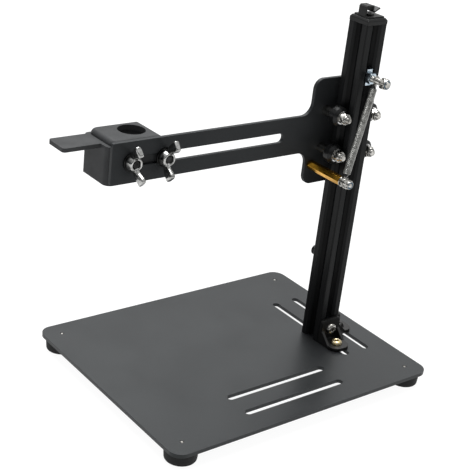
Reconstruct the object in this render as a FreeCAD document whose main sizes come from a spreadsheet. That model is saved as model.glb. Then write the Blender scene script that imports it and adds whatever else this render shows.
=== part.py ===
import FreeCAD, Part
import math
import os
import Sketcher

# Spring-return press stand: a slotted base sheet on four rubber feet, a V-slot column, and a
# carriage on four V wheels that an extension spring holds up. The carriage's arm carries a tool
# holder, clamped anywhere along the arm's slot by two wing nuts.
#
# Row frame: +Z up, +X from the tool holder towards the column, origin on the table under the
# middle of the whole stand. Across the column, "front" is -Y.

ROW_X = FreeCAD.Vector(1, 0, 0)
ROW_Y = FreeCAD.Vector(0, 1, 0)
ROW_Z = FreeCAD.Vector(0, 0, 1)

DIMENSIONS = {
    # base sheet, slots and feet
    "base_length": 246.0,
    "base_width": 194.0,
    "base_thickness": 3.0,
    "base_corner_radius": 10.0,
    "base_offset": 16.4,
    "base_slot_width": 6.0,
    "base_slot_length": 95.0,
    "base_slot_pitch": 21.6,
    "front_slot_inset": 43.0,
    "side_slot_inset": 43.4,
    "foot_height": 10.0,
    "foot_top_diameter": 25.0,
    "foot_bottom_diameter": 22.0,
    "foot_recess_diameter": 11.0,
    "foot_inset": 14.0,
    "foot_screw_diameter": 3.0,
    "foot_screw_length": 6.95,
    "foot_screw_head_diameter": 5.6,
    "foot_screw_head_height": 2.2,
    "foot_screw_socket": 2.0,
    # V-slot column
    "column_offset_along": 79.2,
    "column_offset_across": 11.0,
    "column_width": 20.0,
    "column_height": 263.8,
    "column_corner_radius": 1.0,
    "column_bore": 5.1,
    "vee_mouth": 9.16,
    "vee_throat": 5.68,
    "tee_width": 11.0,
    "tee_depth": 6.1,
    "tee_step": 1.64,
    # end cap and cable hook
    "cap_rim_height": 3.0,
    "cap_height": 4.6,
    "cap_inset": 1.3,
    "hook_sheet": 1.2,
    "hook_base": 15.6,
    "hook_strip_width": 8.0,
    "hook_height": 8.7,
    "hook_drop": -0.9,
    "hook_lip_height": 3.1,
    "hook_lip_reach": 6.0,
    "hook_screw_head": 7.0,
    "hook_screw_head_height": 0.8,
    "hook_screw_length": 16.0,
    # corner brackets
    "bracket_leg": 21.0,
    "bracket_width": 19.0,
    "bracket_sheet": 3.0,
    "bracket_web": 2.5,
    "bracket_hole_offset": 12.0,
    "bracket_web_reach": 14.4,
    "bracket_nose": 7.5,
    "bracket_top_radius": 3.0,
    "bracket_column_screw_length": 9.0,
    "bracket_base_screw_length": 12.0,
    # M5 hardware
    "bolt_diameter": 5.0,
    "hole_diameter": 5.1,
    "button_diameter": 9.5,
    "button_height": 2.8,
    "cap_head_diameter": 8.5,
    "cap_head_height": 5.0,
    "socket_across": 3.0,
    "small_socket_across": 2.5,
    "nut_across": 8.0,
    "nut_height": 4.0,
    "lock_nut_height": 5.0,
    "washer_thickness": 1.0,
    "washer_play": 0.2,
    "tee_nut_length": 12.5,
    # arm sheet
    "arm_gap": 4.5,
    "arm_thickness": 3.0,
    "arm_reach": 205.1,
    "arm_height": 30.0,
    "arm_center_height": 188.0,
    "carriage_half_width": 29.0,
    "carriage_above": 43.0,
    "carriage_below": 42.0,
    "carriage_corner_radius": 8.0,
    "arm_root_radius": 9.5,
    "arm_slot_width": 7.5,
    "arm_slot_start": 54.8,
    "arm_slot_end": 193.5,
    # V wheels
    "wheel_offset": 15.5,
    "wheel_pitch": 30.0,
    "wheel_upper_height": 205.5,
    "wheel_diameter": 15.2,
    "wheel_width": 8.8,
    "wheel_crown": 4.84,
    "bearing_diameter": 10.0,
    "bearing_width": 4.0,
    "bearing_inner_diameter": 6.7,
    "bearing_outer_bore": 8.3,
    "ball_diameter": 1.5,
    "shim_diameter": 7.6,
    "wheel_rib_bore": 8.6,
    "spacer_diameter": 8.0,
    "eccentric_across": 8.0,
    "eccentric_collar": 7.0,
    "eccentric_throw": 0.8,
    "eccentric_boss_height": 0.8,
    "eccentric_collar_height": 2.5,
    "small_washer_diameter": 8.0,
    "wheel_bolt_length": 30.0,
    # spring and its two posts
    "post_offset": 23.7,
    "post_height": 162.5,
    "post_length": 37.0,
    "post_across": 6.5,
    "post_thread": 4.0,
    "post_thread_bore": 4.1,
    "post_nut_across": 7.0,
    "post_nut_height": 5.0,
    "post_washer_diameter": 8.0,
    "post_screw_head": 7.6,
    "post_end_stud": 20.0,
    "post_bore_depth": 12.0,
    "post_screw_length": 12.0,
    "anchor_height": 237.4,
    "anchor_reach": 20.5,
    "anchor_loop_reach": 7.8,
    "anchor_end_nut_reach": 14.6,
    "spring_diameter": 5.8,
    "spring_wire": 1.1,
    "spring_loop_radius": 3.2,
    "spring_neck": 6.4,
    "post_loop_reach": 2.6,
    # lower stop
    "stop_height": 83.0,
    "stop_screw_length": 9.0,
    # tool holder
    "holder_length": 44.2,
    "holder_depth": 33.0,
    "holder_height": 32.0,
    "holder_start": 162.1,
    "holder_front_radius": 5.5,
    "holder_shoulder": 4.0,
    "holder_shoulder_inset": 3.2,
    "holder_back_radius": 6.0,
    "holder_small_radius": 3.5,
    "holder_round": 3.8,
    "flange_reach": 7.0,
    "flange_depth": 9.5,
    "flange_height": 23.0,
    "tab_length": 28.7,
    "tab_depth": 20.5,
    "tab_setback": 2.3,
    "tab_thickness": 3.0,
    "tool_bore": 20.0,
    "tool_cavity": 22.5,
    "tool_lip": 4.0,
    "tool_bore_along": 177.5,
    "tool_bore_across": 17.3,
    # holder clamping hardware, M6
    "stud_along": 162.0,
    "stud_pitch": 27.0,
    "stud_diameter": 6.0,
    "stud_hole": 6.1,
    "stud_embedded": 7.0,
    "stud_tip": 6.2,
    "clamp_washer_diameter": 14.0,
    "clamp_washer_thickness": 1.2,
    "wing_hub_diameter": 12.0,
    "wing_hub_top_diameter": 9.4,
    "wing_hub_height": 5.5,
    "wing_half_span": 15.2,
    "wing_rise": 13.0,
    "wing_thickness": 2.4,
    # tool clamp screw
    "clamp_screw_drop": 16.0,
    "clamp_screw_length": 7.5,
    "clamp_knob_diameter": 8.0,
    "clamp_knob_height": 8.0,
    "clamp_knob_gap": 1.6,
    "clamp_neck_diameter": 7.0,
    "clamp_neck_gap": 0.4,
}

RIGHT_WING_TILT = 17.0
BALLS_PER_BEARING = 7

doc = FreeCAD.newDocument("press_stand")
sheet = doc.addObject("Spreadsheet::Sheet", "dims")


class Size:
    """A length that knows its number and the spreadsheet formula that gives it."""

    def __init__(self, number, formula):
        self.number = number
        self.formula = formula

    def joined(self, sign, other, number):
        return Size(number, f"({self.formula} {sign} {as_size(other).formula})")

    def __add__(self, other):
        return self.joined("+", other, self.number + as_size(other).number)

    def __sub__(self, other):
        return self.joined("-", other, self.number - as_size(other).number)

    def __mul__(self, other):
        return self.joined("*", other, self.number * as_size(other).number)

    def __truediv__(self, other):
        return self.joined("/", other, self.number / as_size(other).number)

    def __neg__(self):
        return Size(-self.number, f"(0 - {self.formula})")

    def __radd__(self, other):
        return as_size(other) + self

    def __rsub__(self, other):
        return as_size(other) - self


def as_size(value):
    return value if isinstance(value, Size) else Size(float(value), f"{float(value):g}")


def fill_sheet():
    """Writes one row per dimension and returns each as a Size."""
    sizes = {}
    for row, (alias, number) in enumerate(DIMENSIONS.items(), start=1):
        sheet.set(f"A{row}", alias.replace("_", " "))
        sheet.set(f"B{row}", f"{number:g}")
        sheet.setAlias(f"B{row}", alias)
        sizes[alias] = Size(number, f"dims.{alias}")
    doc.recompute()
    return sizes


d = fill_sheet()

# ---------------------------------------------------------------- places shared by several parts

COLUMN_X = d["base_offset"] + d["column_offset_along"]
COLUMN_Y = -d["column_offset_across"]
HALF_COLUMN = d["column_width"] / 2
FLOOR_TOP = d["foot_height"] + d["base_thickness"]
COLUMN_TOP = FLOOR_TOP + d["column_height"]
CAP_TOP = COLUMN_TOP + d["cap_height"]
FRONT_FACE = COLUMN_Y - HALF_COLUMN
BACK_FACE = COLUMN_Y + HALF_COLUMN
ARM_FRONT = BACK_FACE + d["arm_gap"]
ARM_BACK = ARM_FRONT + d["arm_thickness"]
ARM_Z = d["arm_center_height"]
LOWER_WHEEL_Z = d["wheel_upper_height"] - d["wheel_pitch"]
WHEEL_SITES = {
    "upper_left": (COLUMN_X - d["wheel_offset"], d["wheel_upper_height"]),
    "lower_left": (COLUMN_X - d["wheel_offset"], LOWER_WHEEL_Z),
    "upper_right": (COLUMN_X + d["wheel_offset"], d["wheel_upper_height"]),
    "lower_right": (COLUMN_X + d["wheel_offset"], LOWER_WHEEL_Z),
}
BEARING_FACE = d["bearing_width"] + d["washer_thickness"] / 2
POST_X = COLUMN_X - d["post_offset"]
POST_END = ARM_FRONT - d["post_length"]
POST_LOOP_Y = POST_END - d["post_loop_reach"]
ANCHOR_LOOP_Y = FRONT_FACE - d["anchor_loop_reach"]
HOLDER_RIGHT = COLUMN_X - d["holder_start"]
HOLDER_LEFT = HOLDER_RIGHT - d["holder_length"]
HOLDER_TOP = ARM_Z + d["arm_height"] / 2
HOLDER_BOTTOM = HOLDER_TOP - d["holder_height"]
HOLDER_BACK = ARM_BACK + d["holder_depth"]
SHOULDER_Z = HOLDER_TOP - d["holder_shoulder"]
BORE_X = COLUMN_X - d["tool_bore_along"]
BORE_Y = ARM_BACK + d["tool_bore_across"]
STUD_XS = (COLUMN_X - d["stud_along"] - d["stud_pitch"], COLUMN_X - d["stud_along"])

# Directions in which a fastener's local +Z can point.
TOWARDS = {
    "up": FreeCAD.Rotation(),
    "down": FreeCAD.Rotation(ROW_X, 180),
    "front": FreeCAD.Rotation(ROW_X, 90),
    "back": FreeCAD.Rotation(ROW_X, -90),
    "right": FreeCAD.Rotation(ROW_Y, 90),
}

exports = []


# ------------------------------------------------------------------------------- small helpers

def bind(thing, **properties):
    """Sets each property from a Size, as a formula, or from a plain value."""
    for name, value in properties.items():
        if isinstance(value, Size):
            thing.setExpression(name, value.formula)
        else:
            setattr(thing, name, value)


def place(thing, x=0, y=0, z=0, towards="up", spin=0.0):
    """Moves a feature's origin to (x, y, z) and points its local +Z as named."""
    turn = TOWARDS[towards].multiply(FreeCAD.Rotation(ROW_Z, spin))
    thing.Placement = FreeCAD.Placement(FreeCAD.Vector(), turn)
    for axis, value in zip("xyz", (x, y, z)):
        thing.setExpression(f"Placement.Base.{axis}", as_size(value).formula)
    return thing


def keep(thing, label):
    """Gives a finished sub-part its name and lists it for writing."""
    thing.Label = label
    exports.append(thing)
    return thing


def primitive(kind, name, z=0, x=0, y=0, **properties):
    """A Part primitive standing on local z, axis along +Z."""
    solid = doc.addObject(f"Part::{kind}", name)
    bind(solid, **properties)
    for axis, value in zip("xyz", (x, y, z)):
        solid.setExpression(f"Placement.Base.{axis}", as_size(value).formula)
    return solid


def cylinder(name, diameter, height, z=0, x=0, y=0):
    return primitive("Cylinder", name, z, x, y, Radius=diameter / 2, Height=height)


def hexagon(name, across, height, z=0):
    corner = across / math.cos(math.pi / 6) / 2
    return primitive("Prism", name, z, Polygon=6, Circumradius=corner, Height=height)


def cone(name, bottom, top, height, z=0):
    return primitive("Cone", name, z, Radius1=bottom / 2, Radius2=top / 2, Height=height)


def fuse(name, *solids):
    joined = doc.addObject("Part::MultiFuse", name)
    joined.Shapes = list(solids)
    return joined


def cut(name, base, *tools):
    """Takes every tool away from the base."""
    result = doc.addObject("Part::Cut", name)
    result.Base = base
    result.Tool = tools[0] if len(tools) == 1 else fuse(f"{name}_tools", *tools)
    return result


def common(name, first, second):
    result = doc.addObject("Part::MultiCommon", name)
    result.Shapes = [first, second]
    return result


def group(label, solids):
    """One node of separate identical solids."""
    bundle = doc.addObject("Part::Compound", label)
    bundle.Links = list(solids)
    return keep(bundle, label)


def new_body(label):
    body = doc.addObject("PartDesign::Body", label)
    return keep(body, label)


def new_sketch(body, name, plane="XY_Plane", lift=None):
    """A sketch on one of the body's own origin planes, moved along its normal by lift."""
    sketch = body.newObject("Sketcher::SketchObject", name)
    support = [p for p in body.Origin.OriginFeatures if p.Role == plane][0]
    sketch.AttachmentSupport = [(support, "")]
    sketch.MapMode = "FlatFace"
    if lift is not None:
        sketch.setExpression("AttachmentOffset.Base.z", as_size(lift).formula)
    return sketch


def pin_point(sketch, geometry, end, x, y):
    """Holds one point of the sketch at (x, y)."""
    for kind, axis, value in (("DistanceX", -2, as_size(x)), ("DistanceY", -1, as_size(y))):
        if abs(value.number) < 1e-9:
            sketch.addConstraint(Sketcher.Constraint("PointOnObject", geometry, end, axis))
            continue
        rule = Sketcher.Constraint(kind, -1, 1, geometry, end, value.number)
        index = sketch.addConstraint(rule)
        sketch.setExpression(f"Constraints[{index}]", value.formula)


def outline(sketch, points):
    """A closed polygon through the points, each held in place."""
    corners = [FreeCAD.Vector(as_size(x).number, as_size(y).number, 0) for x, y in points]
    edges = []
    for index, corner in enumerate(corners):
        following = corners[(index + 1) % len(corners)]
        edges.append(sketch.addGeometry(Part.LineSegment(corner, following)))
    for index, edge in enumerate(edges):
        following = edges[(index + 1) % len(edges)]
        sketch.addConstraint(Sketcher.Constraint("Coincident", edge, 2, following, 1))
        pin_point(sketch, edge, 1, *points[index])


def box_outline(sketch, x0, y0, x1, y1):
    outline(sketch, [(x0, y0), (x1, y0), (x1, y1), (x0, y1)])


def rounded_box_outline(sketch, x0, y0, x1, y1, radii):
    """A box whose corners, anticlockwise from (x0, y0), have the given radii; None stays sharp."""
    x0, y0, x1, y1 = (as_size(value) for value in (x0, y0, x1, y1))
    corners = [(x0, y0, 1, 1), (x1, y0, -1, 1), (x1, y1, -1, -1), (x0, y1, 1, -1)]
    stops = []
    for index, ((x, y, in_x, in_y), radius) in enumerate(zip(corners, radii)):
        along_x = (x + as_size(radius or 0) * in_x, y)
        along_y = (x, y + as_size(radius or 0) * in_y)
        stops.append((along_y, along_x) if index % 2 == 0 else (along_x, along_y))
    sides = []
    for index in range(4):
        start, end = stops[index][1], stops[(index + 1) % 4][0]
        first = FreeCAD.Vector(start[0].number, start[1].number, 0)
        last = FreeCAD.Vector(end[0].number, end[1].number, 0)
        side = sketch.addGeometry(Part.LineSegment(first, last))
        pin_point(sketch, side, 1, *start)
        sides.append(side)
    for index, ((x, y, in_x, in_y), radius) in enumerate(zip(corners, radii)):
        before, after = sides[index - 1], sides[index]
        if radius is None:
            sketch.addConstraint(Sketcher.Constraint("Coincident", before, 2, after, 1))
            continue
        pin_point(sketch, before, 2, *stops[index][0])
        center = FreeCAD.Vector(x.number + in_x * radius.number, y.number + in_y * radius.number, 0)
        turn = math.pi + index * math.pi / 2
        ring = Part.Circle(center, ROW_Z, radius.number)
        arc = sketch.addGeometry(Part.ArcOfCircle(ring, turn, turn + math.pi / 2))
        sketch.addConstraint(Sketcher.Constraint("Coincident", before, 2, arc, 1))
        sketch.addConstraint(Sketcher.Constraint("Coincident", arc, 2, after, 1))
        rule = sketch.addConstraint(Sketcher.Constraint("Radius", arc, radius.number))
        sketch.setExpression(f"Constraints[{rule}]", radius.formula)


def circle(sketch, x, y, diameter):
    center = FreeCAD.Vector(as_size(x).number, as_size(y).number, 0)
    radius = as_size(diameter) / 2
    ring = sketch.addGeometry(Part.Circle(center, ROW_Z, radius.number))
    pin_point(sketch, ring, 3, x, y)
    index = sketch.addConstraint(Sketcher.Constraint("Radius", ring, radius.number))
    sketch.setExpression(f"Constraints[{index}]", radius.formula)


def slot_outline(sketch, x, y, length, width, along_x=True):
    """A round-ended slot centred on (x, y)."""
    x, y, half = as_size(x), as_size(y), (length - width) / 2
    radius = width / 2
    ends = [(x - half, y), (x + half, y)] if along_x else [(x, y - half), (x, y + half)]
    heading = 0.0 if along_x else math.pi / 2
    across = FreeCAD.Vector(-math.sin(heading), math.cos(heading), 0) * radius.number
    centers = [FreeCAD.Vector(a.number, b.number, 0) for a, b in ends]
    arcs = []
    for index, center in enumerate(centers):
        start = heading + math.pi / 2 + index * math.pi
        ring = Part.Circle(center, ROW_Z, radius.number)
        arcs.append(sketch.addGeometry(Part.ArcOfCircle(ring, start, start + math.pi)))
    upper = sketch.addGeometry(Part.LineSegment(centers[1] + across, centers[0] + across))
    lower = sketch.addGeometry(Part.LineSegment(centers[0] - across, centers[1] - across))
    for first, first_end, second, second_end in (
        (upper, 2, arcs[0], 1),
        (arcs[0], 2, lower, 1),
        (lower, 2, arcs[1], 1),
        (arcs[1], 2, upper, 1),
    ):
        sketch.addConstraint(Sketcher.Constraint("Tangent", first, first_end, second, second_end))
    for arc, (a, b) in zip(arcs, ends):
        pin_point(sketch, arc, 3, a, b)
    index = sketch.addConstraint(Sketcher.Constraint("Radius", arcs[0], radius.number))
    sketch.setExpression(f"Constraints[{index}]", radius.formula)


def feature(body, kind, name, sketch, **properties):
    """A PartDesign feature of the sketch, recomputed so that the next one can read it."""
    step = body.newObject(f"PartDesign::{kind}", name)
    step.Profile = sketch
    bind(step, **properties)
    doc.recompute()
    return step


def turned(body, name, points):
    """A solid of revolution about the body's Z axis; points are (radius, height)."""
    sketch = new_sketch(body, f"{name}_profile", "XZ_Plane")
    outline(sketch, points)
    step = body.newObject("PartDesign::Revolution", name)
    step.Profile = sketch
    step.ReferenceAxis = (sketch, ["V_Axis"])
    step.Angle = 360.0
    doc.recompute()
    return step


def upright_edges(shape, corners, tolerance=0.05):
    """Names of the edges along local Z that stand at one of the given (x, y) corners."""
    names = []
    for index, edge in enumerate(shape.Edges, start=1):
        ends = [vertex.Point for vertex in edge.Vertexes]
        if len(ends) != 2 or (ends[0] - ends[1]).cross(ROW_Z).Length > tolerance:
            continue
        for x, y in corners:
            spot = FreeCAD.Vector(as_size(x).number, as_size(y).number, ends[0].z)
            if (ends[0] - spot).Length < tolerance:
                names.append(f"Edge{index}")
    return names


def round_edges(body, name, names, radius):
    base = body.Tip
    fillet = body.newObject("PartDesign::Fillet", name)
    fillet.Base = (base, names)
    bind(fillet, Radius=as_size(radius))
    doc.recompute()
    return fillet


def round_corners(body, name, corners, radius):
    """Rounds the upright edges that stand at the given corners."""
    return round_edges(body, name, upright_edges(body.Tip.Shape, corners), radius)


# ------------------------------------------------------------------------------ fastener shapes

def button_screw(
    name,
    length,
    diameter=d["bolt_diameter"],
    head=d["button_diameter"],
    across=d["socket_across"],
):
    """Domed head standing on local z = 0 upwards, shank below it."""
    height = d["button_height"]
    dome = cone(f"{name}_dome", head, head * 0.62, height)
    shank = cylinder(f"{name}_shank", diameter, length, -length)
    socket = hexagon(f"{name}_socket", across, height, height * 0.4)
    return cut(name, fuse(f"{name}_blank", dome, shank), socket)


def cap_screw(name, length):
    """Cylindrical socket head standing on local z = 0, shank below it."""
    head = cylinder(f"{name}_head", d["cap_head_diameter"], d["cap_head_height"])
    shank = cylinder(f"{name}_shank", d["bolt_diameter"], length, -length)
    socket = hexagon(f"{name}_socket", d["socket_across"], d["cap_head_height"], 2.5)
    return cut(name, fuse(f"{name}_blank", head, shank), socket)


def hex_nut(name, across, height, bore):
    """A nut with both faces chamfered, standing on local z = 0."""
    corners = across / math.cos(math.pi / 6)
    prism = hexagon(f"{name}_hex", across, height)
    rounded = cone(f"{name}_bevel", corners * 1.12, corners * 0.94, height)
    body = common(f"{name}_blank", prism, rounded)
    return cut(name, body, cylinder(f"{name}_bore", bore, height))


def lock_nut(name, across=d["nut_across"], height=d["lock_nut_height"], bore=d["hole_diameter"]):
    """A nut with a round nylon-insert collar on its outer end."""
    straight = height * 0.72
    prism = hexagon(f"{name}_hex", across, straight)
    ring = cone(f"{name}_collar", across, across * 0.84, height - straight, straight)
    return cut(name, fuse(f"{name}_blank", prism, ring), cylinder(f"{name}_bore", bore, height))


def washer(name, outside, inside, thickness):
    disc = cylinder(f"{name}_disc", outside, thickness)
    return cut(name, disc, cylinder(f"{name}_bore", inside, thickness))


def tee_nut(name):
    """A slot nut lying under the lips, local +Z out of the slot and z = 0 at the column's face."""
    length = d["tee_nut_length"]
    depth = (d["vee_mouth"] - d["vee_throat"]) / 2
    body = doc.addObject("PartDesign::Body", name)
    sketch = new_sketch(body, f"{name}_profile", "XZ_Plane")
    neck, wing, foot = d["vee_throat"] / 2 - 0.15, d["tee_width"] / 2 - 0.5, 3.0
    under, top = -depth - 0.12, -0.1
    low, shoulder = -d["tee_depth"] + 0.9, -depth - d["tee_step"] - 0.1
    right = [(neck, top), (neck, under), (wing, under), (wing, shoulder), (foot, low)]
    outline(sketch, right + [(-as_size(x), z) for x, z in reversed(right)])
    feature(body, "Pad", f"{name}_pad", sketch, Length=length, SideType="Symmetric")
    hole = new_sketch(body, f"{name}_hole_sketch", "XY_Plane")
    circle(hole, 0, 0, d["hole_diameter"])
    feature(body, "Pocket", f"{name}_hole", hole, Type="ThroughAll", SideType="Symmetric")
    return body


# ---------------------------------------------------------------------------------- base and feet

BASE_X0 = d["base_offset"] - d["base_length"] / 2
BASE_X1 = d["base_offset"] + d["base_length"] / 2
BASE_Y1 = d["base_width"] / 2
FOOT_FLOOR = d["foot_height"] * 0.6
FOOT_SITES = {
    "front_left": (BASE_X0 + d["foot_inset"], -BASE_Y1 + d["foot_inset"]),
    "front_right": (BASE_X1 - d["foot_inset"], -BASE_Y1 + d["foot_inset"]),
    "rear_left": (BASE_X0 + d["foot_inset"], BASE_Y1 - d["foot_inset"]),
    "rear_right": (BASE_X1 - d["foot_inset"], BASE_Y1 - d["foot_inset"]),
}


def base_plate():
    """The base sheet: rounded corners, two long slots along the front and two by the column."""
    body = new_body("base_plate")
    sketch = new_sketch(body, "base_outline")
    box_outline(sketch, BASE_X0, -BASE_Y1, BASE_X1, BASE_Y1)
    feature(body, "Pad", "base_pad", sketch, Length=d["base_thickness"])
    corners = [(x, y) for x in (BASE_X0, BASE_X1) for y in (-BASE_Y1, BASE_Y1)]
    round_corners(body, "base_corners", corners, d["base_corner_radius"])
    slots = new_sketch(body, "base_slots")
    length, width = d["base_slot_length"], d["base_slot_width"]
    for row in range(2):
        y = -BASE_Y1 + d["front_slot_inset"] - d["base_slot_pitch"] * row
        slot_outline(slots, d["base_offset"], y, length, width)
        x = BASE_X1 - d["side_slot_inset"] + d["base_slot_pitch"] * row
        slot_outline(slots, x, 0, length, width, along_x=False)
    for x, y in FOOT_SITES.values():
        circle(slots, x, y, d["foot_screw_diameter"] + 0.1)
    feature(body, "Pocket", "base_slot_cut", slots, Type="ThroughAll", Reversed=True)
    place(body, z=d["foot_height"])


def rubber_feet():
    """Four tapered rubber feet with a recess under each for its screw's head."""
    top, bottom = d["foot_top_diameter"] / 2, d["foot_bottom_diameter"] / 2
    hole, recess = (d["foot_screw_diameter"] + 0.1) / 2, d["foot_recess_diameter"] / 2
    for where, (x, y) in FOOT_SITES.items():
        body = new_body(f"foot_{where}")
        profile = [
            (hole, d["foot_height"]),
            (top, d["foot_height"]),
            (top, d["foot_height"] - 1.5),
            (bottom + 0.8, 0.8),
            (bottom, 0),
            (recess, 0),
            (recess, FOOT_FLOOR),
            (hole, FOOT_FLOOR),
        ]
        turned(body, f"foot_{where}_turned", profile)
        place(body, x, y)


def foot_fasteners():
    """Button screws from inside the feet, threaded into the sheet and level with its top."""
    screws = []
    head, height = d["foot_screw_head_diameter"], d["foot_screw_head_height"]
    for where, (x, y) in FOOT_SITES.items():
        name = f"foot_screw_{where}"
        dome = cone(f"{name}_dome", head, head * 0.7, height)
        length = d["foot_screw_length"]
        shank = cylinder(f"{name}_shank", d["foot_screw_diameter"], length, -length)
        socket = hexagon(f"{name}_socket", d["foot_screw_socket"], height, height * 0.4)
        screw = cut(name, fuse(f"{name}_blank", dome, shank), socket)
        screws.append(place(screw, x, y, FOOT_FLOOR, "down"))
    group("foot_screws", screws)


# ------------------------------------------------------------------------------------ the column

def column():
    """V-slot extrusion: a square bar with the same slot in each face and a tapped core."""
    body = new_body("column")
    sketch = new_sketch(body, "column_square")
    half = HALF_COLUMN
    box_outline(sketch, -half, -half, half, half)
    feature(body, "Pad", "column_bar", sketch, Length=d["column_height"])
    corners = [(x, y) for x in (-half, half) for y in (-half, half)]
    round_corners(body, "column_corners", corners, d["column_corner_radius"])
    bore = new_sketch(body, "core_bore_sketch")
    circle(bore, 0, 0, d["column_bore"])
    feature(body, "Pocket", "core_bore", bore, Type="ThroughAll", Reversed=True)
    slot = new_sketch(body, "vee_slot_profile")
    lip = (d["vee_mouth"] - d["vee_throat"]) / 2
    mouth, throat, tee = d["vee_mouth"] / 2, d["vee_throat"] / 2, d["tee_width"] / 2
    under = half - lip
    step = under - d["tee_step"]
    core = half - d["tee_depth"]
    upper = [
        (half + 1, mouth + 1),
        (under, throat),
        (under, tee),
        (step, tee),
        (core, tee - (step - core)),
    ]
    outline(slot, upper + [(x, -y) for x, y in reversed(upper)])
    pocket = feature(body, "Pocket", "vee_slot", slot, Type="ThroughAll", Reversed=True)
    pattern = body.newObject("PartDesign::PolarPattern", "four_vee_slots")
    pattern.Originals = [pocket]
    pattern.Axis = (sketch, ["N_Axis"])
    pattern.Angle = 360.0
    pattern.Occurrences = 4
    body.Tip = pattern
    place(body, COLUMN_X, COLUMN_Y, FLOOR_TOP)


def end_cap():
    """A moulded cap with a square rim and four sloping sides."""
    body = new_body("column_end_cap")
    half = HALF_COLUMN - 0.05
    rim = new_sketch(body, "cap_rim_outline")
    box_outline(rim, -half, -half, half, half)
    feature(body, "Pad", "cap_rim", rim, Length=d["cap_height"])
    top = body.Tip.Shape.BoundBox.ZMax
    names = []
    for index, edge in enumerate(body.Tip.Shape.Edges, start=1):
        if edge.BoundBox.ZMin > top - 0.01:
            names.append(f"Edge{index}")
    base = body.Tip
    slope = body.newObject("PartDesign::Chamfer", "cap_slopes")
    slope.ChamferType = "Two distances"
    slope.Base = (base, names)
    bind(slope, Size=d["cap_height"] - d["cap_rim_height"], Size2=d["cap_inset"])
    doc.recompute()
    rim_cut = Part.makePlane(40, 40, FreeCAD.Vector(-20, -20, d["cap_rim_height"].number / 2))
    if slope.Shape.section(rim_cut).BoundBox.XLength < half.number * 1.9:
        slope.FlipDirection = True
    hole = new_sketch(body, "cap_hole_sketch")
    circle(hole, 0, 0, d["hole_diameter"] + 0.3)
    feature(body, "Pocket", "cap_hole", hole, Type="ThroughAll", Reversed=True)
    place(body, COLUMN_X, COLUMN_Y, COLUMN_TOP)


def cable_hook():
    """A bent strip on a square foot: up, over towards the column's back, down and out to a lip."""
    body = new_body("cable_hook")
    t = d["hook_sheet"]
    half = d["hook_base"] / 2
    rise = d["hook_height"]
    foot = new_sketch(body, "hook_foot_outline")
    box_outline(foot, -half, -half, half, half)
    feature(body, "Pad", "hook_foot", foot, Length=t)
    strip = new_sketch(body, "hook_strip_outline", "XZ_Plane")
    inside, outside = d["hook_drop"], d["hook_drop"] + t
    bend = outside + 0.9
    low = d["hook_lip_height"]
    outer = [(-half, 0), (-half, rise - t), (-half + t, rise), (inside, rise), (outside, rise - t)]
    lip = [
        (outside, low + 1.7),
        (bend, low + 1.2),
        (d["hook_lip_reach"], low + 3.7),
        (d["hook_lip_reach"] + 0.6, low + 2.7),
        (bend, low),
        (inside, low + 1.3),
    ]
    inner = [(inside, rise - t), (-half + t, rise - t), (-half + t, 0)]
    outline(strip, outer + lip + inner)
    feature(body, "Pad", "hook_strip", strip, Length=d["hook_strip_width"], SideType="Symmetric")
    hole = new_sketch(body, "hook_hole_sketch")
    circle(hole, 0, 0, d["hole_diameter"] + 0.3)
    feature(body, "Pocket", "hook_hole", hole, Reversed=True, Length=t)
    place(body, COLUMN_X, COLUMN_Y, CAP_TOP)


def hook_screw():
    """A low flat-headed screw that clamps the hook and the cap into the column's core."""
    height, length = d["hook_screw_head_height"], d["hook_screw_length"]
    head = cylinder("hook_screw_head", d["hook_screw_head"], height)
    shank = cylinder("hook_screw_shank", d["bolt_diameter"], length, -length)
    socket = hexagon("hook_screw_socket", d["small_socket_across"], height, height / 2)
    screw = cut("cable_hook_screw", fuse("hook_screw_blank", head, shank), socket)
    keep(place(screw, COLUMN_X, COLUMN_Y, CAP_TOP + d["hook_sheet"]), "cable_hook_screw")


def corner_bracket(label, x, y, spin):
    """A cast angle with a small web on each side; local +X points away from the column."""
    body = new_body(label)
    leg, sheet_t, reach = d["bracket_leg"], d["bracket_sheet"], d["bracket_web_reach"]
    width, web = d["bracket_width"], d["bracket_web"]
    side = new_sketch(body, f"{label}_side", "XZ_Plane")
    near = reach - sheet_t
    hypotenuse = [(near, sheet_t), (sheet_t, near)]
    outline(side, [(0, 0), (leg, 0), (leg, sheet_t), *hypotenuse, (sheet_t, leg), (0, leg)])
    feature(body, "Pad", f"{label}_block", side, Length=width, SideType="Symmetric")
    hollow = new_sketch(body, f"{label}_hollow_outline", "XZ_Plane")
    outline(hollow, [(sheet_t, sheet_t), (leg + 1, sheet_t), (leg + 1, leg + 1), (sheet_t, leg + 1)])
    feature(body, "Pocket", f"{label}_hollow", hollow, Length=width - web * 2, SideType="Symmetric")
    ends = [(leg, -width / 2), (leg, width / 2)]
    round_corners(body, f"{label}_nose", ends, d["bracket_nose"])
    names = []
    for index, edge in enumerate(body.Tip.Shape.Edges, start=1):
        box = edge.BoundBox
        if box.ZMin > leg.number - 0.01 and abs(box.YMin) > width.number / 2 - 0.01 and box.YLength < 0.01:
            names.append(f"Edge{index}")
    round_edges(body, f"{label}_top", names, d["bracket_top_radius"])
    for plane, name in (("XY_Plane", "base"), ("YZ_Plane", "column")):
        sketch = new_sketch(body, f"{label}_{name}_hole_sketch", plane)
        offset = d["bracket_hole_offset"]
        spot = (offset, 0) if plane == "XY_Plane" else (0, offset)
        circle(sketch, *spot, d["hole_diameter"] + 0.3)
        feature(body, "Pocket", f"{label}_{name}_hole", sketch, Length=sheet_t * 2, SideType="Symmetric")
    place(body, x, y, FLOOR_TOP, spin=spin)


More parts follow.
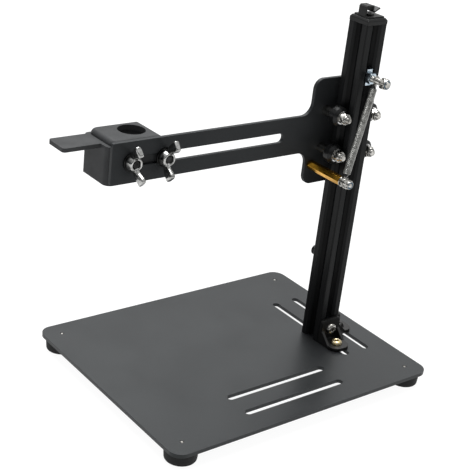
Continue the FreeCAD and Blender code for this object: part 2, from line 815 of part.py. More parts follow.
def bracket_fasteners():
    """Each bracket: a screw and slot nut into the column, and a screw and nut through a base slot."""
    offset, sheet_t = d["bracket_hole_offset"], d["bracket_sheet"]
    right_face = COLUMN_X + HALF_COLUMN
    level = FLOOR_TOP + offset
    column_sites = (
        ("front", COLUMN_X, FRONT_FACE - sheet_t, "front"),
        ("side", right_face + sheet_t, COLUMN_Y, "right"),
    )
    base_sites = (
        ("front", COLUMN_X, FRONT_FACE - offset),
        ("side", right_face + offset, COLUMN_Y),
    )
    screws, nuts = [], []
    for name, x, y, towards in column_sites:
        screw = button_screw(f"{name}_column_screw", d["bracket_column_screw_length"])
        screws.append(place(screw, x, y, level, towards))
    for name, x, y in base_sites:
        screw = button_screw(f"{name}_base_screw", d["bracket_base_screw_length"])
        screws.append(place(screw, x, y, FLOOR_TOP + sheet_t))
        nut = hex_nut(f"{name}_base_nut", d["nut_across"], d["nut_height"], d["hole_diameter"])
        nuts.append(place(nut, x, y, d["foot_height"], "down"))
    group("bracket_column_screws", screws[:2])
    group("bracket_base_screws", screws[2:])
    group("bracket_base_nuts", nuts)
    front_nut = place(tee_nut("front_tee_nut"), COLUMN_X, FRONT_FACE, level, "front")
    side_nut = place(tee_nut("side_tee_nut"), right_face, COLUMN_Y, level, "right", 90)
    group("bracket_tee_nuts", [front_nut, side_nut])


def lower_stop():
    """A screw standing out of the column's back slot, which the carriage sheet lands on."""
    z = d["stop_height"]
    keep(place(tee_nut("stop_tee_nut"), COLUMN_X, BACK_FACE, z, "back"), "stop_tee_nut")
    nut = hex_nut("stop_nut", d["nut_across"], d["nut_height"], d["hole_diameter"])
    keep(place(nut, COLUMN_X, BACK_FACE, z, "back"), "stop_nut")
    screw = cap_screw("stop_screw", d["stop_screw_length"])
    keep(place(screw, COLUMN_X, BACK_FACE + d["nut_height"], z, "back"), "stop_screw")


# -------------------------------------------------------------------------------- spring assembly

def spring_anchor():
    """A stud in the column's front slot with a clamping nut and an end nut that keeps the loop on."""
    z = d["anchor_height"]
    tee = place(tee_nut("anchor_tee_nut"), COLUMN_X, FRONT_FACE, z, "front")
    keep(tee, "anchor_tee_nut")
    length = d["anchor_reach"] + d["tee_depth"] - 1
    stud = cylinder("anchor_stud", d["bolt_diameter"], length)
    keep(place(stud, COLUMN_X, FRONT_FACE + d["tee_depth"] - 1, z, "front"), "anchor_stud")
    nut = hex_nut("anchor_nut", d["nut_across"], d["nut_height"], d["hole_diameter"])
    keep(place(nut, COLUMN_X, FRONT_FACE, z, "front"), "anchor_nut")
    end = lock_nut("anchor_end_nut")
    end_y = FRONT_FACE - d["anchor_end_nut_reach"]
    keep(place(end, COLUMN_X, end_y, z, "front"), "anchor_end_nut")


def return_spring():
    """The close-wound coil as one rod, with a wire neck and a loop round the stud at each end."""
    top = FreeCAD.Vector(COLUMN_X.number, ANCHOR_LOOP_Y.number, d["anchor_height"].number)
    bottom = FreeCAD.Vector(POST_X.number, POST_LOOP_Y.number, d["post_height"].number)
    wire = d["spring_wire"].number / 2
    loop_radius = d["spring_loop_radius"].number
    neck = d["spring_neck"].number
    pull = (top - bottom).normalize()
    length = (top - bottom).Length - 2 * neck
    shape = Part.makeCylinder(d["spring_diameter"].number / 2, length, bottom + pull * neck, pull)
    for center, inwards in ((top, -pull), (bottom, pull)):
        loop = Part.makeTorus(loop_radius, wire, center, ROW_Y)
        strut = Part.makeCylinder(wire, neck - loop_radius + wire, center + inwards * loop_radius, inwards)
        shape = shape.fuse([loop, strut])
    spring = doc.addObject("Part::Feature", "return_spring")
    spring.Shape = shape
    keep(spring, "return_spring")


def spring_post():
    """A brass hexagon screwed to the carriage, and the stud that carries the spring's lower loop."""
    z, depth = d["post_height"], d["post_bore_depth"]
    thread, bore = d["post_thread"], d["post_thread_bore"]
    outer_gap = d["post_loop_reach"] + d["washer_thickness"]
    blank = hexagon("post_hexagon", d["post_across"], d["post_length"])
    rear = cylinder("post_rear_bore", bore, depth)
    front = cylinder("post_front_bore", bore, depth, d["post_length"] - depth)
    post = cut("spring_post", blank, rear, front)
    keep(place(post, POST_X, ARM_FRONT, z, "front"), "spring_post")
    length, head = d["post_screw_length"], d["post_screw_head"]
    screw = button_screw("spring_post_screw", length, thread, head, d["small_socket_across"])
    keep(place(screw, POST_X, ARM_BACK, z, "back"), "spring_post_screw")
    stud = cylinder("spring_post_stud", thread, d["post_end_stud"])
    keep(place(stud, POST_X, POST_END + d["post_end_stud"] / 2, z, "front"), "spring_post_stud")
    rings = []
    for name, gap in (("inner", 0), ("outer", outer_gap)):
        inside = bore + d["washer_play"]
        ring = washer(f"post_{name}_washer", d["post_washer_diameter"], inside, d["washer_thickness"])
        rings.append(place(ring, POST_X, POST_END - gap, z, "front"))
    group("spring_post_washers", rings)
    end = lock_nut("spring_post_nut", d["post_nut_across"], d["post_nut_height"], bore)
    end_y = POST_END - outer_gap - d["washer_thickness"]
    keep(place(end, POST_X, end_y, z, "front"), "spring_post_nut")


# ------------------------------------------------------------------------------------ the carriage

def arm_plate():
    """One sheet: the wide carriage plate behind the column and the long slotted arm."""
    body = new_body("arm_plate")
    half = d["arm_height"] / 2
    side, above, below = d["carriage_half_width"], d["carriage_above"], d["carriage_below"]
    reach = d["arm_reach"]
    sketch = new_sketch(body, "arm_outline", "XZ_Plane")
    points = [
        (-reach, -half),
        (-side, -half),
        (-side, -below),
        (side, -below),
        (side, above),
        (-side, above),
        (-side, half),
        (-reach, half),
    ]
    outline(sketch, points)
    feature(body, "Pad", "arm_sheet", sketch, Length=d["arm_thickness"], Reversed=True)

    def edges_at(corners):
        names = []
        for index, edge in enumerate(body.Tip.Shape.Edges, start=1):
            box = edge.BoundBox
            if box.XLength > 0.01 or box.ZLength > 0.01:
                continue
            for x, z in corners:
                near_x = abs(box.XMin - as_size(x).number) < 0.01
                if near_x and abs(box.ZMin - as_size(z).number) < 0.01:
                    names.append(f"Edge{index}")
        return names

    round_edges(body, "arm_roots", edges_at([points[1], points[6]]), d["arm_root_radius"])
    tabs = [points[2], points[3], points[4], points[5]]
    round_edges(body, "carriage_corners", edges_at(tabs), d["carriage_corner_radius"])
    round_edges(body, "arm_end_corners", edges_at([points[0], points[7]]), 1.5)
    holes = new_sketch(body, "arm_holes", "XZ_Plane")
    slot_length = d["arm_slot_end"] - d["arm_slot_start"]
    slot_outline(holes, -(d["arm_slot_end"] + d["arm_slot_start"]) / 2, 0, slot_length, d["arm_slot_width"])
    for x, z in WHEEL_SITES.values():
        local_x = x - COLUMN_X
        if local_x.number > 0:
            circle(holes, local_x + d["eccentric_throw"], z - ARM_Z, d["eccentric_collar"] + 0.1)
        else:
            circle(holes, local_x, z - ARM_Z, d["hole_diameter"])
    circle(holes, -d["post_offset"], d["post_height"] - ARM_Z, d["post_thread_bore"])
    feature(body, "Pocket", "arm_hole_cut", holes, Type="ThroughAll", SideType="Symmetric")
    place(body, COLUMN_X, ARM_FRONT, ARM_Z)


def wheel_profile():
    """Half of a V wheel: bearing bore with a central rib, 45 degree flanks and a flat crown."""
    half, crown, radius = d["wheel_width"] / 2, d["wheel_crown"] / 2, d["wheel_diameter"] / 2
    bore, rib = d["bearing_diameter"] / 2, d["wheel_rib_bore"] / 2
    rib_half = d["washer_thickness"] / 2
    flank = radius - (half - crown)
    return [
        (bore, half),
        (flank, half),
        (radius, crown),
        (radius, -crown),
        (flank, -half),
        (bore, -half),
        (bore, -rib_half),
        (rib, -rib_half),
        (rib, rib_half),
        (bore, rib_half),
    ]


def wheels():
    for where, (x, z) in WHEEL_SITES.items():
        body = new_body(f"wheel_{where}")
        turned(body, f"wheel_{where}_turned", wheel_profile())
        place(body, x, COLUMN_Y, z, "front")


def bearing_ring(name, outside, inside, z):
    """One race of a ball bearing with a half-round groove for its balls."""
    width = d["bearing_width"]
    pitch = (d["bearing_inner_diameter"] + d["bearing_outer_bore"]) / 4
    ring = cylinder(f"{name}_disc", outside, width, z)
    bore = cylinder(f"{name}_bore", inside, width, z)
    track = d["ball_diameter"] / 2 + 0.03
    groove = primitive("Torus", f"{name}_groove", z + width / 2, Radius1=pitch, Radius2=track)
    return cut(name, ring, bore, groove)


def bearings():
    """Two ball bearings and a shim in each wheel."""
    rib_half = d["washer_thickness"] / 2
    starts = (rib_half, -rib_half - d["bearing_width"])
    pitch = (d["bearing_inner_diameter"] + d["bearing_outer_bore"]) / 4
    outside = d["bearing_diameter"] - 0.02
    inner_rings, shims, balls = [], [], []
    for where, (x, z) in WHEEL_SITES.items():
        outer_rings = []
        for side, start in zip(("front", "back"), starts):
            name = f"bearing_{where}_{side}"
            outer = bearing_ring(f"{name}_outer", outside, d["bearing_outer_bore"], start)
            outer_rings.append(place(outer, x, COLUMN_Y, z, "front"))
            inner = bearing_ring(f"{name}_inner", d["bearing_inner_diameter"], d["hole_diameter"], start)
            inner_rings.append(place(inner, x, COLUMN_Y, z, "front"))
            for number in range(BALLS_PER_BEARING):
                angle = 2 * math.pi * number / BALLS_PER_BEARING
                ball = primitive("Sphere", f"{name}_ball_{number}", Radius=d["ball_diameter"] / 2)
                ball_x = x + pitch * math.cos(angle)
                ball_z = z + pitch * math.sin(angle)
                middle = COLUMN_Y - start - d["bearing_width"] / 2
                balls.append(place(ball, ball_x, middle, ball_z))
        group(f"bearing_outer_rings_{where}", outer_rings)
        shim = washer(f"shim_{where}", d["shim_diameter"], d["hole_diameter"], d["washer_thickness"])
        shims.append(place(shim, x, COLUMN_Y + rib_half, z, "front"))
    group("bearing_inner_rings", inner_rings)
    group("bearing_balls", balls)
    group("bearing_shims", shims)


def wheel_axles():
    """Bolts, spacers, washers and lock nuts that carry the four wheels on the carriage sheet."""
    bolts, spacers, eccentrics, washers, nuts = [], [], [], [], []
    gap = d["arm_gap"] + HALF_COLUMN - BEARING_FACE
    small = d["small_washer_diameter"]
    for where, (x, z) in WHEEL_SITES.items():
        bolt = button_screw(f"wheel_bolt_{where}", d["wheel_bolt_length"])
        bolts.append(place(bolt, x, ARM_BACK, z, "back"))
        name = f"spacer_{where}"
        if where.endswith("left"):
            spacer = washer(name, d["spacer_diameter"], d["hole_diameter"], gap)
            spacers.append(place(spacer, x, ARM_FRONT, z, "front"))
        else:
            eccentrics.append(place(eccentric_spacer(name, gap), x, ARM_FRONT, z, "front"))
        ring = washer(f"wheel_washer_{where}", small, d["hole_diameter"], d["washer_thickness"])
        washers.append(place(ring, x, COLUMN_Y - BEARING_FACE, z, "front"))
        nut = lock_nut(f"wheel_nut_{where}")
        nuts.append(place(nut, x, COLUMN_Y - BEARING_FACE - d["washer_thickness"], z, "front"))
    group("wheel_bolts", bolts)
    group("wheel_spacers", spacers)
    group("eccentric_spacers", eccentrics)
    group("wheel_washers", washers)
    group("wheel_nuts", nuts)


def eccentric_spacer(name, gap):
    """A hexagon with a boss to the bearing and an off-centre collar that turns in the sheet."""
    rise, sink, across = d["eccentric_boss_height"], d["eccentric_collar_height"], d["eccentric_collar"]
    prism = hexagon(f"{name}_hex", d["eccentric_across"], gap - rise)
    boss = cylinder(f"{name}_boss", across, rise, gap - rise)
    collar = cylinder(f"{name}_collar", across, sink, -sink, x=d["eccentric_throw"])
    bore = cylinder(f"{name}_bore", d["hole_diameter"], gap + sink, -sink)
    return cut(name, fuse(f"{name}_blank", prism, boss, collar), bore)


# ---------------------------------------------------------------------------------- tool holder

def tool_holder():
    """The moulded holder: block with a raised top, stud flange, finger tab and lipped tool bore."""
    body = new_body("tool_holder")
    front, back = ARM_BACK + 0.02, HOLDER_BACK
    lower = new_sketch(body, "holder_outline")
    front_radius, small = d["holder_front_radius"], d["holder_small_radius"]
    back_radius = d["holder_back_radius"]
    radii = (front_radius, None, back_radius / 2, small)
    rounded_box_outline(lower, HOLDER_LEFT, front, HOLDER_RIGHT, back, radii)
    feature(body, "Pad", "holder_block", lower, Length=SHOULDER_Z - HOLDER_BOTTOM)
    top = new_sketch(body, "holder_top_outline", lift=SHOULDER_Z - HOLDER_BOTTOM)
    left = HOLDER_LEFT + d["holder_shoulder_inset"]
    radii = (front_radius, None, back_radius / 2, back_radius)
    rounded_box_outline(top, left, front, HOLDER_RIGHT, back, radii)
    feature(body, "Pad", "holder_top", top, Length=d["holder_shoulder"])
    height = (HOLDER_TOP - HOLDER_BOTTOM).number
    rims = []
    for index, edge in enumerate(body.Tip.Shape.Edges, start=1):
        box = edge.BoundBox
        if box.ZMin > height - 0.01 and box.XMin < left.number + 0.01 and box.XLength < 0.01:
            rims.append(f"Edge{index}")
    round_edges(body, "holder_top_round", rims, d["holder_round"])
    flange = new_sketch(body, "flange_outline")
    far = HOLDER_RIGHT + d["flange_reach"]
    box_outline(flange, HOLDER_RIGHT - 1, front, far, front + d["flange_depth"])
    feature(body, "Pad", "stud_flange", flange, Length=d["flange_height"])
    round_corners(body, "flange_corner", [(far, front + d["flange_depth"])], d["holder_small_radius"])
    tab = new_sketch(body, "tab_outline", lift=SHOULDER_Z - HOLDER_BOTTOM - d["tab_thickness"])
    tab_end, tab_back = HOLDER_LEFT - d["tab_length"], back - d["tab_setback"]
    tab_front = tab_back - d["tab_depth"]
    box_outline(tab, tab_end, tab_front, HOLDER_LEFT + 3, tab_back)
    feature(body, "Pad", "finger_tab", tab, Length=d["tab_thickness"])
    round_corners(body, "tab_corners", [(tab_end, tab_back), (tab_end, tab_front)], 2.5)
    bore = new_sketch(body, "tool_bore_sketch")
    circle(bore, BORE_X, BORE_Y, d["tool_bore"])
    feature(body, "Pocket", "tool_bore", bore, Type="ThroughAll", Reversed=True)
    cavity = new_sketch(body, "tool_cavity_sketch")
    circle(cavity, BORE_X, BORE_Y, d["tool_cavity"])
    depth = d["holder_height"] - d["tool_lip"]
    feature(body, "Pocket", "tool_cavity", cavity, Length=depth, Reversed=True)
    studs = new_sketch(body, "stud_hole_sketch", "XZ_Plane", lift=-front)
    for x in STUD_XS:
        circle(studs, x, ARM_Z - HOLDER_BOTTOM, d["stud_hole"])
    feature(body, "Pocket", "stud_holes", studs, Length=d["stud_embedded"] + 0.5)
    screw = new_sketch(body, "clamp_hole_sketch", "YZ_Plane", lift=HOLDER_RIGHT)
    circle(screw, BORE_Y, d["holder_height"] - d["clamp_screw_drop"], d["hole_diameter"])
    feature(body, "Pocket", "clamp_hole", screw, Length=10)
    place(body, 0, 0, HOLDER_BOTTOM)


def clamp_hardware():
    """Studs that pass through the arm's slot, with washers and wing nuts in front of the arm."""
    studs, washers = [], []
    stud_end = ARM_FRONT - d["stud_tip"]
    for side, x in zip(("left", "right"), STUD_XS):
        start = ARM_BACK + d["stud_embedded"]
        stud = cylinder(f"holder_stud_{side}", d["stud_diameter"], start - stud_end)
        studs.append(place(stud, x, start, ARM_Z, "front"))
        name, play = f"clamp_washer_{side}", d["stud_diameter"] + 0.4
        ring = washer(name, d["clamp_washer_diameter"], play, d["clamp_washer_thickness"])
        washers.append(place(ring, x, ARM_FRONT, ARM_Z, "front"))
        wing_nut(f"wing_nut_{side}", x, RIGHT_WING_TILT if side == "right" else 0.0)
    group("holder_studs", studs)
    group("clamp_washers", washers)


def wing_nut(label, x, tilt):
    """A wing nut: tapered hub and two wings that sweep away from the arm."""
    body = new_body(label)
    hub, top = d["wing_hub_diameter"] / 2, d["wing_hub_top_diameter"] / 2
    height, span, rise = d["wing_hub_height"], d["wing_half_span"], d["wing_rise"]
    turned(body, f"{label}_hub", [(0, 0), (hub, 0), (hub, 1.2), (top, height), (0, height)])
    wings = new_sketch(body, f"{label}_wing_outline", "YZ_Plane")
    upper = [
        (hub - 1.6, 1.2),
        (hub + 1.4, 2.2),
        (span - 0.8, rise - 6.2),
        (span, rise - 4.0),
        (span - 0.2, rise - 1.2),
        (span - 1.6, rise),
        (span - 3.4, rise - 0.8),
        (top + 0.9, height - 0.4),
        (top - 1.6, height - 1.0),
    ]
    outline(wings, upper)
    outline(wings, [(-as_size(a), b) for a, b in reversed(upper)])
    feature(body, "Pad", f"{label}_wings", wings, Length=d["wing_thickness"], SideType="Symmetric")
    bore = new_sketch(body, f"{label}_bore_sketch")
    circle(bore, 0, 0, d["stud_diameter"] + 0.1)
    feature(body, "Pocket", f"{label}_bore", bore, Type="ThroughAll", Reversed=True)
    place(body, x, ARM_FRONT - d["clamp_washer_thickness"], ARM_Z, "front", spin=tilt)


def tool_clamp_screw():
    """A thumb screw through the holder's end wall that grips the tool."""
    length = d["clamp_screw_length"]
    knob = cylinder("clamp_knob", d["clamp_knob_diameter"], d["clamp_knob_height"], d["clamp_knob_gap"])
    neck = cylinder("clamp_neck", d["clamp_neck_diameter"], d["clamp_knob_gap"], d["clamp_neck_gap"])
    shank = cylinder("clamp_shank", d["bolt_diameter"], length, d["clamp_knob_gap"] - length)
    screw = fuse("tool_clamp_screw", knob, neck, shank)
    z = HOLDER_TOP - d["clamp_screw_drop"]
    keep(place(screw, HOLDER_RIGHT, BORE_Y, z, "right"), "tool_clamp_screw")


# ---------------------------------------------------------------------------------------- build

def write_parts():
    """Checks every object and every sub-part, then writes one STEP file for each sub-part."""
    doc.recompute()
    for item in doc.Objects:
        if "Invalid" in item.State or "Error" in item.State:
            raise RuntimeError(f"{item.Label} did not build: {item.State}")
    os.makedirs("parts", exist_ok=True)
    for item in exports:
        shape = item.Shape
        if shape.isNull() or not shape.isValid() or not shape.Solids:
            raise RuntimeError(f"{item.Label} has no valid solid")
        shape.exportStep(os.path.join("parts", f"{item.Label}.step"))
        print(item.Label, len(shape.Solids), round(shape.Volume, 1))


base_plate()
rubber_feet()
foot_fasteners()
column()
end_cap()
cable_hook()
hook_screw()
corner_bracket("front_bracket", COLUMN_X, FRONT_FACE, -90)
corner_bracket("side_bracket", COLUMN_X + HALF_COLUMN, COLUMN_Y, 0)
bracket_fasteners()
lower_stop()
spring_anchor()
spring_post()
return_spring()
arm_plate()
wheels()
bearings()
wheel_axles()
tool_holder()
clamp_hardware()
tool_clamp_screw()
write_parts()
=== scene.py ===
"""Looks of the spring-return press stand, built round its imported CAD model. Metres, row frame."""

import math

import bpy
from mathutils import Matrix, Vector


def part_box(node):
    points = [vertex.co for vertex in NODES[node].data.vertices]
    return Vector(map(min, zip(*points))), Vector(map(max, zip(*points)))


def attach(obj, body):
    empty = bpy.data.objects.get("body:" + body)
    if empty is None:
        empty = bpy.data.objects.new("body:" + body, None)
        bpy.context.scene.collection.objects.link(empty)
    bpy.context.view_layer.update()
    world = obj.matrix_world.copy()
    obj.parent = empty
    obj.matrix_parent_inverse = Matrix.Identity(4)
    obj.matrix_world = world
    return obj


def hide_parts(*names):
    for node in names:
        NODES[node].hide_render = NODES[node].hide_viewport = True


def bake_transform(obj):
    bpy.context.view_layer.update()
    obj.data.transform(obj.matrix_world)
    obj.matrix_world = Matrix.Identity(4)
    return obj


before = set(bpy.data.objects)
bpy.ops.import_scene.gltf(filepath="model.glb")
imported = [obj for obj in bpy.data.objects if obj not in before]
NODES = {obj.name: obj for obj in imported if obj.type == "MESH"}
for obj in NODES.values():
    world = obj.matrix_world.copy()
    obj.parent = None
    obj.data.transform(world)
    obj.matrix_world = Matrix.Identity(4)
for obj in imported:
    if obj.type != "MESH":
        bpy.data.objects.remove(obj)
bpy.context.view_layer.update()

MM = 0.001
UP = Vector((0, 0, 1))

# Directions in which a fastener's local +Z points.
TOWARDS = {
    "up": Matrix.Identity(4),
    "down": Matrix.Rotation(math.pi, 4, "X"),
    "front": Matrix.Rotation(math.pi / 2, 4, "X"),
    "back": Matrix.Rotation(-math.pi / 2, 4, "X"),
    "right": Matrix.Rotation(math.pi / 2, 4, "Y"),
}


# ------------------------------------------------------------------------------------ materials

def new_material(name, **sockets):
    """A Principled material; each keyword sets the shader's socket of that name."""
    material = bpy.data.materials.new(name)
    material.use_nodes = True
    shader = material.node_tree.nodes["Principled BSDF"]
    for socket, value in sockets.items():
        shader.inputs[socket.replace("_", " ")].default_value = value
    return material, material.node_tree, shader


def add(tree, kind, links=None, **settings):
    """A shader node with its settings and its linked or constant inputs."""
    node = tree.nodes.new(f"ShaderNode{kind}")
    for name, value in settings.items():
        setattr(node, name, value)
    for name, value in (links or {}).items():
        if isinstance(value, bpy.types.NodeSocket):
            tree.links.new(value, node.inputs[name])
        else:
            node.inputs[name].default_value = value
    return node


def place_of(tree, stretch=(1, 1, 1)):
    """The point on the piece, in metres, stretched along each axis."""
    spot = add(tree, "TexCoord").outputs["Object"]
    return add(tree, "Mapping", {"Vector": spot, "Scale": stretch}).outputs["Vector"]


def noise(tree, spot, scale, detail=3.0, roughness=0.55):
    links = {"Vector": spot, "Scale": scale, "Detail": detail, "Roughness": roughness}
    return add(tree, "TexNoise", links).outputs["Fac"]


def shades(tree, amount, *stops):
    """A ramp over amount; each stop is (position, colour)."""
    ramp = add(tree, "ValToRGB", {"Fac": amount})
    elements = ramp.color_ramp.elements
    while len(elements) < len(stops):
        elements.new(0.5)
    for element, (position, colour) in zip(elements, stops):
        element.position = position
        element.color = (*colour, 1.0)
    return ramp.outputs["Color"]


def grey(value, tint=0.0):
    """A grey, cooler with a positive tint and warmer with a negative one."""
    return (value * (1 - tint), value, value * (1 + tint))


def between(tree, amount, low, high):
    """Amount 0.3 to 0.7, spread over low to high."""
    links = {"Value": amount, "From Min": 0.3, "From Max": 0.7, "To Min": low, "To Max": high}
    return add(tree, "MapRange", links).outputs["Result"]


def bump(tree, height, strength, distance, under=None):
    links = {"Height": height, "Strength": strength, "Distance": distance}
    if under is not None:
        links["Normal"] = under
    return add(tree, "Bump", links).outputs["Normal"]


COOL_SHEEN = (0.92, 0.98, 1.0, 1.0)


def powder_coat(name="powder_coat", base=0.019, low=0.36, high=0.46, gloss=0.16):
    """Satin black powder coat: fine orange peel with a faint speckle."""
    sockets = {"Specular_IOR_Level": gloss, "Specular_Tint": COOL_SHEEN}
    material, tree, shader = new_material(name, **sockets)
    spot = place_of(tree)
    peel = noise(tree, spot, 1100.0, 2.0)
    speckle = noise(tree, spot, 2600.0, 1.0)
    cloud = noise(tree, spot, 22.0, 3.0)
    colour = shades(tree, speckle, (0.35, grey(base * 0.8, 0.06)), (0.68, grey(base * 1.35, 0.06)))
    tree.links.new(colour, shader.inputs["Base Color"])
    tree.links.new(between(tree, cloud, low, high), shader.inputs["Roughness"])
    fine = bump(tree, speckle, 0.10, 0.00005)
    tree.links.new(bump(tree, peel, 0.22, 0.00012, fine), shader.inputs["Normal"])
    return material


def anodised():
    """Black anodised extrusion: drawn lines along the column and a soft metallic sheen."""
    material, tree, shader = new_material("black_anodised", Specular_IOR_Level=0.10)
    drawn = noise(tree, place_of(tree, (1, 1, 0.012)), 2400.0, 3.0)
    cloud = noise(tree, place_of(tree, (1, 1, 0.3)), 60.0, 2.0)
    colour = shades(tree, drawn, (0.3, grey(0.006, 0.05)), (0.7, grey(0.013, 0.05)))
    tree.links.new(colour, shader.inputs["Base Color"])
    tree.links.new(between(tree, cloud, 0.30, 0.40), shader.inputs["Roughness"])
    tree.links.new(bump(tree, drawn, 0.25, 0.00006), shader.inputs["Normal"])
    return material


def moulded(name, base, low, high, grain=2200.0, strength=0.2, tint=0.03, gloss=0.25):
    """Moulded plastic or rubber with a fine spark-eroded grain."""
    material, tree, shader = new_material(name, Specular_IOR_Level=gloss)
    spot = place_of(tree)
    fine = noise(tree, spot, grain, 2.0)
    cloud = noise(tree, spot, 70.0, 3.0)
    colour = shades(tree, cloud, (0.3, grey(base * 0.85, tint)), (0.7, grey(base * 1.15, tint)))
    tree.links.new(colour, shader.inputs["Base Color"])
    tree.links.new(between(tree, fine, low, high), shader.inputs["Roughness"])
    tree.links.new(bump(tree, fine, strength, 0.0001), shader.inputs["Normal"])
    return material


def cast_black():
    """Black lacquered die casting: slightly pitted under a glossy coat."""
    material, tree, shader = new_material("cast_black", Specular_IOR_Level=0.2, Coat_Weight=0.15)
    shader.inputs["Coat Roughness"].default_value = 0.18
    spot = place_of(tree)
    pits = noise(tree, spot, 620.0, 4.0)
    colour = shades(tree, pits, (0.3, grey(0.004)), (0.75, grey(0.010)))
    tree.links.new(colour, shader.inputs["Base Color"])
    tree.links.new(between(tree, pits, 0.34, 0.5), shader.inputs["Roughness"])
    tree.links.new(bump(tree, pits, 0.3, 0.00015), shader.inputs["Normal"])
    return material


def plated(name, dark, light, low, high, stretch=(1, 1, 1), grain=900.0, strength=0.12):
    """Plated or bare metal: colour and gloss vary, with fine tool marks."""
    material, tree, shader = new_material(name, Metallic=1.0)
    spot = place_of(tree, stretch)
    marks = noise(tree, spot, grain, 3.0)
    cloud = noise(tree, place_of(tree), 320.0, 2.0)
    colour = shades(tree, cloud, (0.32, dark), (0.68, light))
    tree.links.new(colour, shader.inputs["Base Color"])
    tree.links.new(between(tree, marks, low, high), shader.inputs["Roughness"])
    tree.links.new(bump(tree, marks, strength, 0.00008), shader.inputs["Normal"])
    return material


MATERIALS = {
    "sheet": powder_coat(),
    # The edge coat is a lighter colour than the sheet, a painted highlight along the bevelled edges;
    # its smoother gloss is the coat's own.
    "sheet_edge_highlight": powder_coat("powder_coat_edge_highlight", 0.03, 0.3, 0.4),
    "base_sheet": powder_coat("powder_coat_base", 0.012, 0.28, 0.38, 0.3),
    "anodised": anodised(),
    "plastic": moulded("moulded_plastic", 0.043, 0.42, 0.56, gloss=0.08),
    "cap": moulded("cap_plastic", 0.003, 0.34, 0.46),
    "rubber": moulded("moulded_rubber", 0.008, 0.62, 0.78, 1400.0, 0.3),
    "wheel": moulded("wheel_acetal", 0.008, 0.22, 0.32, 1800.0, 0.12),
    "cast": cast_black(),
    "black_steel": plated("black_oxide", grey(0.012), grey(0.035), 0.32, 0.46),
    "zinc": plated("bright_zinc", (0.26, 0.25, 0.23), (0.60, 0.59, 0.56), 0.12, 0.24),
    "blue_zinc": plated("blue_zinc", (0.34, 0.42, 0.48), (0.58, 0.66, 0.72), 0.2, 0.34),
    "gold_zinc": plated("gold_zinc", (0.45, 0.36, 0.16), (0.74, 0.64, 0.44), 0.16, 0.3),
    "cast_zinc": plated("wing_zinc", (0.24, 0.24, 0.23), (0.55, 0.55, 0.54), 0.12, 0.26, grain=420.0),
    "spring": plated("spring_wire", (0.22, 0.22, 0.21), (0.46, 0.46, 0.44), 0.2, 0.34, grain=1500.0),
    "brass": plated("drawn_brass", (0.50, 0.24, 0.02), (0.80, 0.44, 0.05), 0.16, 0.26, (1, 0.03, 1)),
    "bearing": plated("bearing_steel", grey(0.5), grey(0.65), 0.12, 0.22),
    "nylon_blue": moulded("nylon_blue", 0.12, 0.4, 0.5, tint=0.8),
    "nylon_white": moulded("nylon_white", 0.3, 0.45, 0.55),
}


# ---------------------------------------------------------------------------- carried-over nodes

def dress(node, material, edge=0.25, rim=None, sharp=34.0):
    """Gives a CAD node its material, and rounds its hard edges by edge millimetres."""
    thing = NODES[node]
    thing.data.materials.clear()
    thing.data.materials.append(MATERIALS[material])
    if rim:
        thing.data.materials.append(MATERIALS[rim])
    if not edge:
        return
    weld = thing.modifiers.new("weld", "WELD")
    weld.merge_threshold = 1e-6
    flat = thing.modifiers.new("flat", "DECIMATE")
    flat.decimate_type = "DISSOLVE"
    flat.angle_limit = math.radians(0.8)
    bevel = thing.modifiers.new("edges", "BEVEL")
    bevel.width = edge * MM
    bevel.segments = 2
    bevel.limit_method = "ANGLE"
    bevel.angle_limit = math.radians(sharp)
    bevel.miter_outer = "MITER_ARC"
    if rim:
        # The bevel's faces take the second material, the lighter edge coat that paints a highlight
        # along the edges.
        bevel.material = 1
    normals = thing.modifiers.new("normals", "WEIGHTED_NORMAL")
    normals.keep_sharp = False


DRESSED = {
    "base_plate": ("base_sheet", 0.35, "sheet_edge_highlight"),
    "arm_plate": ("sheet", 0.3, "sheet_edge_highlight"),
    "column": ("anodised", 0.12, None),
    "column_end_cap": ("cap", 0.3, None),
    "cable_hook": ("cap", 0.25, None),
    "front_bracket": ("cast", 0.5, None),
    "side_bracket": ("cast", 0.5, None),
    "tool_holder": ("plastic", 0.4, None),
    "bracket_base_nuts": ("zinc", 0.15, None),
    "bracket_tee_nuts": ("blue_zinc", 0.2, None),
    "stop_tee_nut": ("black_steel", 0.2, None),
    "stop_nut": ("black_steel", 0.15, None),
    "anchor_tee_nut": ("blue_zinc", 0.2, None),
    "anchor_nut": ("blue_zinc", 0.15, None),
    "spring_post": ("brass", 0.15, None),
    "spring_post_washers": ("zinc", 0.12, None),
    "wheel_spacers": ("zinc", 0.15, None),
    "eccentric_spacers": ("zinc", 0.15, None),
    "wheel_washers": ("zinc", 0.12, None),
    "clamp_washers": ("black_steel", 0.12, None),
    "bearing_shims": ("bearing", 0, None),
    "bearing_inner_rings": ("bearing", 0, None),
    "bearing_balls": ("bearing", 0, None),
}
WHEEL_PLACES = ("upper_left", "lower_left", "upper_right", "lower_right")
FOOT_PLACES = ("front_left", "front_right", "rear_left", "rear_right")


def dress_all():
    for node, (material, edge, rim) in DRESSED.items():
        dress(node, material, edge, rim)
    for where in FOOT_PLACES:
        dress(f"foot_{where}", "rubber", 0.5)
    for where in WHEEL_PLACES:
        dress(f"wheel_{where}", "wheel", 0.15, sharp=30.0)
        dress(f"bearing_outer_rings_{where}", "bearing", 0)


# --------------------------------------------------------------------------- new pieces: helpers

def mesh_piece(name, verts, faces, material, sharp=35.0):
    """A mesh object from points in metres, smooth but for edges sharper than the angle."""
    mesh = bpy.data.meshes.new(name)
    mesh.from_pydata(verts, [], faces)
    mesh.validate()
    mesh.shade_smooth()
    mesh.set_sharp_from_angle(angle=math.radians(sharp))
    mesh.materials.append(MATERIALS[material])
    piece = bpy.data.objects.new(name, mesh)
    bpy.context.scene.collection.objects.link(piece)
    return piece


